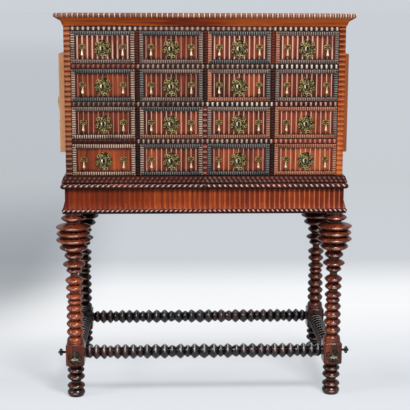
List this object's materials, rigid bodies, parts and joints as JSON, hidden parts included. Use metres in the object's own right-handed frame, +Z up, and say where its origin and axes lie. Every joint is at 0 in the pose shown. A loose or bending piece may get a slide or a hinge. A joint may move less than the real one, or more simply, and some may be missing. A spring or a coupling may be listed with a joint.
{
  "type": "cabinet of drawers on stand",
  "caption": "Antique cabinet of small drawers with brass drop pulls and pierced escutcheons, on a stand with disc-turned legs and stretchers.",
  "frame": {"origin": "on the floor, under the middle of the stand", "axes": "+Z up, -Y to the front with the drawers, +X to the right of someone who faces the front"},
  "size_m": [1.022, 0.558, 1.326],
  "materials": {
    "rosewood": "waxed red-brown rosewood",
    "dark_moulding": "polished near-black ripple moulding",
    "panel_wood": "waxed light orange-brown wood",
    "carcass_wood": "plain waxed wood",
    "brass": "old polished brass",
    "iron": "black forged iron"
  },
  "bodies": {
    "stand_and_case": {"case_carcass": "carcass_wood", "drawer_dividers": "carcass_wood", "front_mouldings": "dark_moulding", "top_cornice": "rosewood", "side_panels": "panel_wood", "handle_plates": "brass", "stand_frame": "rosewood", "stand_legs": "rosewood", "stand_stretchers": "dark_moulding", "wing_bolts": "iron"},
    "left_handle": {"left_handle": "brass"},
    "right_handle": {"right_handle": "brass"},
    "drawer_r1c1": {"drawer_r1c1": "rosewood", "drawer_r1c1_brass": "brass"},
    "drawer_r1c1_pulls": {"drawer_r1c1_pulls": "brass"},
    "drawer_r1c2": {"drawer_r1c2": "rosewood", "drawer_r1c2_brass": "brass"},
    "drawer_r1c2_pulls": {"drawer_r1c2_pulls": "brass"},
    "drawer_r1c3": {"drawer_r1c3": "rosewood", "drawer_r1c3_brass": "brass"},
    "drawer_r1c3_pulls": {"drawer_r1c3_pulls": "brass"},
    "drawer_r1c4": {"drawer_r1c4": "rosewood", "drawer_r1c4_brass": "brass"},
    "drawer_r1c4_pulls": {"drawer_r1c4_pulls": "brass"},
    "drawer_r2c1": {"drawer_r2c1": "rosewood", "drawer_r2c1_brass": "brass"},
    "drawer_r2c1_pulls": {"drawer_r2c1_pulls": "brass"},
    "drawer_r2c2": {"drawer_r2c2": "rosewood", "drawer_r2c2_brass": "brass"},
    "drawer_r2c2_pulls": {"drawer_r2c2_pulls": "brass"},
    "drawer_r2c3": {"drawer_r2c3": "rosewood", "drawer_r2c3_brass": "brass"},
    "drawer_r2c3_pulls": {"drawer_r2c3_pulls": "brass"},
    "drawer_r2c4": {"drawer_r2c4": "rosewood", "drawer_r2c4_brass": "brass"},
    "drawer_r2c4_pulls": {"drawer_r2c4_pulls": "brass"},
    "drawer_r3c1": {"drawer_r3c1": "rosewood", "drawer_r3c1_brass": "brass"},
    "drawer_r3c1_pulls": {"drawer_r3c1_pulls": "brass"},
    "drawer_r3c2": {"drawer_r3c2": "rosewood", "drawer_r3c2_brass": "brass"},
    "drawer_r3c2_pulls": {"drawer_r3c2_pulls": "brass"},
    "drawer_r3c3": {"drawer_r3c3": "rosewood", "drawer_r3c3_brass": "brass"},
    "drawer_r3c3_pulls": {"drawer_r3c3_pulls": "brass"},
    "drawer_r3c4": {"drawer_r3c4": "rosewood", "drawer_r3c4_brass": "brass"},
    "drawer_r3c4_pulls": {"drawer_r3c4_pulls": "brass"},
    "drawer_r4c1": {"drawer_r4c1": "rosewood", "drawer_r4c1_brass": "brass"},
    "drawer_r4c1_pulls": {"drawer_r4c1_pulls": "brass"},
    "drawer_r4c2": {"drawer_r4c2": "rosewood", "drawer_r4c2_brass": "brass"},
    "drawer_r4c2_pulls": {"drawer_r4c2_pulls": "brass"},
    "drawer_r4c3": {"drawer_r4c3": "rosewood", "drawer_r4c3_brass": "brass"},
    "drawer_r4c3_pulls": {"drawer_r4c3_pulls": "brass"},
    "drawer_r4c4": {"drawer_r4c4": "rosewood", "drawer_r4c4_brass": "brass"},
    "drawer_r4c4_pulls": {"drawer_r4c4_pulls": "brass"}
  },
  "joints": [
    {"name": "drawer_r1c1_slide", "type": "slide", "parent": "stand_and_case", "child": "drawer_r1c1", "axis": [0, -1, 0], "range_m": [0, 0.3]},
    {"name": "drawer_r1c2_slide", "type": "slide", "parent": "stand_and_case", "child": "drawer_r1c2", "axis": [0, -1, 0], "range_m": [0, 0.3]},
    {"name": "drawer_r1c3_slide", "type": "slide", "parent": "stand_and_case", "child": "drawer_r1c3", "axis": [0, -1, 0], "range_m": [0, 0.3]},
    {"name": "drawer_r1c4_slide", "type": "slide", "parent": "stand_and_case", "child": "drawer_r1c4", "axis": [0, -1, 0], "range_m": [0, 0.3]},
    {"name": "drawer_r2c1_slide", "type": "slide", "parent": "stand_and_case", "child": "drawer_r2c1", "axis": [0, -1, 0], "range_m": [0, 0.3]},
    {"name": "drawer_r2c2_slide", "type": "slide", "parent": "stand_and_case", "child": "drawer_r2c2", "axis": [0, -1, 0], "range_m": [0, 0.3]},
    {"name": "drawer_r2c3_slide", "type": "slide", "parent": "stand_and_case", "child": "drawer_r2c3", "axis": [0, -1, 0], "range_m": [0, 0.3]},
    {"name": "drawer_r2c4_slide", "type": "slide", "parent": "stand_and_case", "child": "drawer_r2c4", "axis": [0, -1, 0], "range_m": [0, 0.3]},
    {"name": "drawer_r3c1_slide", "type": "slide", "parent": "stand_and_case", "child": "drawer_r3c1", "axis": [0, -1, 0], "range_m": [0, 0.3]},
    {"name": "drawer_r3c2_slide", "type": "slide", "parent": "stand_and_case", "child": "drawer_r3c2", "axis": [0, -1, 0], "range_m": [0, 0.3]},
    {"name": "drawer_r3c3_slide", "type": "slide", "parent": "stand_and_case", "child": "drawer_r3c3", "axis": [0, -1, 0], "range_m": [0, 0.3]},
    {"name": "drawer_r3c4_slide", "type": "slide", "parent": "stand_and_case", "child": "drawer_r3c4", "axis": [0, -1, 0], "range_m": [0, 0.3]},
    {"name": "drawer_r4c1_slide", "type": "slide", "parent": "stand_and_case", "child": "drawer_r4c1", "axis": [0, -1, 0], "range_m": [0, 0.3]},
    {"name": "drawer_r4c2_slide", "type": "slide", "parent": "stand_and_case", "child": "drawer_r4c2", "axis": [0, -1, 0], "range_m": [0, 0.3]},
    {"name": "drawer_r4c3_slide", "type": "slide", "parent": "stand_and_case", "child": "drawer_r4c3", "axis": [0, -1, 0], "range_m": [0, 0.3]},
    {"name": "drawer_r4c4_slide", "type": "slide", "parent": "stand_and_case", "child": "drawer_r4c4", "axis": [0, -1, 0], "range_m": [0, 0.3]},
    {"name": "drawer_r1c1_pulls_swing", "type": "hinge", "parent": "drawer_r1c1", "child": "drawer_r1c1_pulls", "pos_m": [-0.34125, -0.241, 1.21875], "axis": [-1, 0, 0], "range_deg": [0, 110]},
    {"name": "drawer_r1c2_pulls_swing", "type": "hinge", "parent": "drawer_r1c2", "child": "drawer_r1c2_pulls", "pos_m": [-0.11375, -0.241, 1.21875], "axis": [-1, 0, 0], "range_deg": [0, 110]},
    {"name": "drawer_r1c3_pulls_swing", "type": "hinge", "parent": "drawer_r1c3", "child": "drawer_r1c3_pulls", "pos_m": [0.11375, -0.241, 1.21875], "axis": [-1, 0, 0], "range_deg": [0, 110]},
    {"name": "drawer_r1c4_pulls_swing", "type": "hinge", "parent": "drawer_r1c4", "child": "drawer_r1c4_pulls", "pos_m": [0.34125, -0.241, 1.21875], "axis": [-1, 0, 0], "range_deg": [0, 110]},
    {"name": "drawer_r2c1_pulls_swing", "type": "hinge", "parent": "drawer_r2c1", "child": "drawer_r2c1_pulls", "pos_m": [-0.34125, -0.241, 1.09325], "axis": [-1, 0, 0], "range_deg": [0, 110]},
    {"name": "drawer_r2c2_pulls_swing", "type": "hinge", "parent": "drawer_r2c2", "child": "drawer_r2c2_pulls", "pos_m": [-0.11375, -0.241, 1.09325], "axis": [-1, 0, 0], "range_deg": [0, 110]},
    {"name": "drawer_r2c3_pulls_swing", "type": "hinge", "parent": "drawer_r2c3", "child": "drawer_r2c3_pulls", "pos_m": [0.11375, -0.241, 1.09325], "axis": [-1, 0, 0], "range_deg": [0, 110]},
    {"name": "drawer_r2c4_pulls_swing", "type": "hinge", "parent": "drawer_r2c4", "child": "drawer_r2c4_pulls", "pos_m": [0.34125, -0.241, 1.09325], "axis": [-1, 0, 0], "range_deg": [0, 110]},
    {"name": "drawer_r3c1_pulls_swing", "type": "hinge", "parent": "drawer_r3c1", "child": "drawer_r3c1_pulls", "pos_m": [-0.34125, -0.241, 0.96775], "axis": [-1, 0, 0], "range_deg": [0, 110]},
    {"name": "drawer_r3c2_pulls_swing", "type": "hinge", "parent": "drawer_r3c2", "child": "drawer_r3c2_pulls", "pos_m": [-0.11375, -0.241, 0.96775], "axis": [-1, 0, 0], "range_deg": [0, 110]},
    {"name": "drawer_r3c3_pulls_swing", "type": "hinge", "parent": "drawer_r3c3", "child": "drawer_r3c3_pulls", "pos_m": [0.11375, -0.241, 0.96775], "axis": [-1, 0, 0], "range_deg": [0, 110]},
    {"name": "drawer_r3c4_pulls_swing", "type": "hinge", "parent": "drawer_r3c4", "child": "drawer_r3c4_pulls", "pos_m": [0.34125, -0.241, 0.96775], "axis": [-1, 0, 0], "range_deg": [0, 110]},
    {"name": "drawer_r4c1_pulls_swing", "type": "hinge", "parent": "drawer_r4c1", "child": "drawer_r4c1_pulls", "pos_m": [-0.34125, -0.241, 0.84225], "axis": [-1, 0, 0], "range_deg": [0, 110]},
    {"name": "drawer_r4c2_pulls_swing", "type": "hinge", "parent": "drawer_r4c2", "child": "drawer_r4c2_pulls", "pos_m": [-0.11375, -0.241, 0.84225], "axis": [-1, 0, 0], "range_deg": [0, 110]},
    {"name": "drawer_r4c3_pulls_swing", "type": "hinge", "parent": "drawer_r4c3", "child": "drawer_r4c3_pulls", "pos_m": [0.11375, -0.241, 0.84225], "axis": [-1, 0, 0], "range_deg": [0, 110]},
    {"name": "drawer_r4c4_pulls_swing", "type": "hinge", "parent": "drawer_r4c4", "child": "drawer_r4c4_pulls", "pos_m": [0.34125, -0.241, 0.84225], "axis": [-1, 0, 0], "range_deg": [0, 110]},
    {"name": "left_handle_swing", "type": "hinge", "parent": "stand_and_case", "child": "left_handle", "pos_m": [-0.507, 0, 1.032], "axis": [0, 1, 0], "range_deg": [0, 95]},
    {"name": "right_handle_swing", "type": "hinge", "parent": "stand_and_case", "child": "right_handle", "pos_m": [0.507, 0, 1.032], "axis": [0, -1, 0], "range_deg": [0, 95]}
  ]
}
